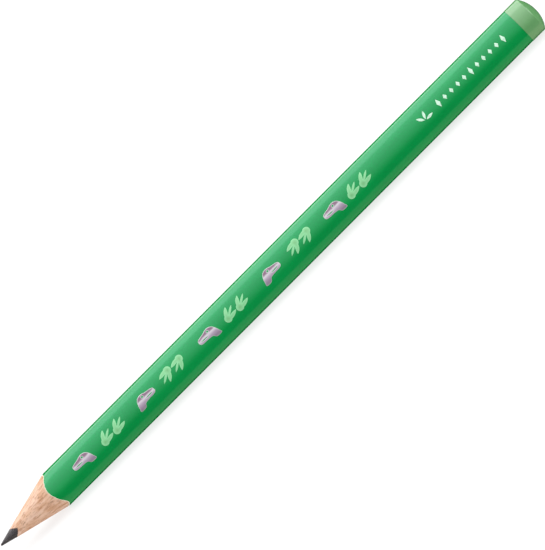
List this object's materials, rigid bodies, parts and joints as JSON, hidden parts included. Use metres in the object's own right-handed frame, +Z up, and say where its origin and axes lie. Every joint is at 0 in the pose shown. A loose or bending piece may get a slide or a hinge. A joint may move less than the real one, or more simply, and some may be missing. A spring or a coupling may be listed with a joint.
{
  "type": "graphite pencil",
  "caption": "Thick soft-triangular graphite pencil, sharpened at one end and dipped in a pale cap at the other, with stamped marks on one face.",
  "frame": {"origin": "middle of the length, on the surface that the pencil lies on, under its axis", "axes": "+X along the pencil from the point to the butt, +Z up; the printed face looks towards -Y and 30 degrees up"},
  "size_m": [0.175, 0.0096, 0.0098],
  "materials": {
    "graphite": "fired graphite and clay, dark grey, satin, with fine lengthwise sharpening lines",
    "cedar": "bare sharpened cedar-like wood, salmon tan, with fine darker grain along the pencil",
    "wood_glue": "thin tan glue film between the slats and round the lead",
    "undercoat": "pale primer, seen only as a thin line where it is cut",
    "green_lacquer": "smooth glossy green lacquer",
    "pale_green_dip": "glossy pale green dipped lacquer",
    "silver_foil": "hot-stamped silver foil with soft mauve and white bands",
    "pale_green_ink": "pale green printed lacquer",
    "white_ink": "white printed lacquer"
  },
  "bodies": {
    "root": {"graphite_core": "graphite", "slat_front": "cedar", "slat_back": "cedar", "glue_joint": "wood_glue", "undercoat": "undercoat", "lacquer_coat": "green_lacquer", "dip_cap": "pale_green_dip", "border_diamond_01": "white_ink", "border_diamond_02": "white_ink", "border_diamond_03": "white_ink", "border_diamond_04": "white_ink", "border_diamond_05": "white_ink", "border_diamond_06": "white_ink", "border_diamond_07": "white_ink", "border_diamond_08": "white_ink", "border_diamond_09": "white_ink", "border_diamond_10": "white_ink", "border_diamond_11": "white_ink", "foil_head_1": "silver_foil", "foil_head_2": "silver_foil", "foil_head_3": "silver_foil", "foil_head_4": "silver_foil", "foil_head_5": "silver_foil", "footprint_1_a": "pale_green_ink", "footprint_1_b": "pale_green_ink", "footprint_2_a": "pale_green_ink", "footprint_2_b": "pale_green_ink", "footprint_3_a": "pale_green_ink", "footprint_3_b": "pale_green_ink", "footprint_4_a": "pale_green_ink", "footprint_4_b": "pale_green_ink", "footprint_5_a": "pale_green_ink", "footprint_5_b": "pale_green_ink", "sprig_leaf_1": "white_ink", "sprig_leaf_2": "white_ink", "sprig_leaf_3": "white_ink"}
  },
  "joints": []
}
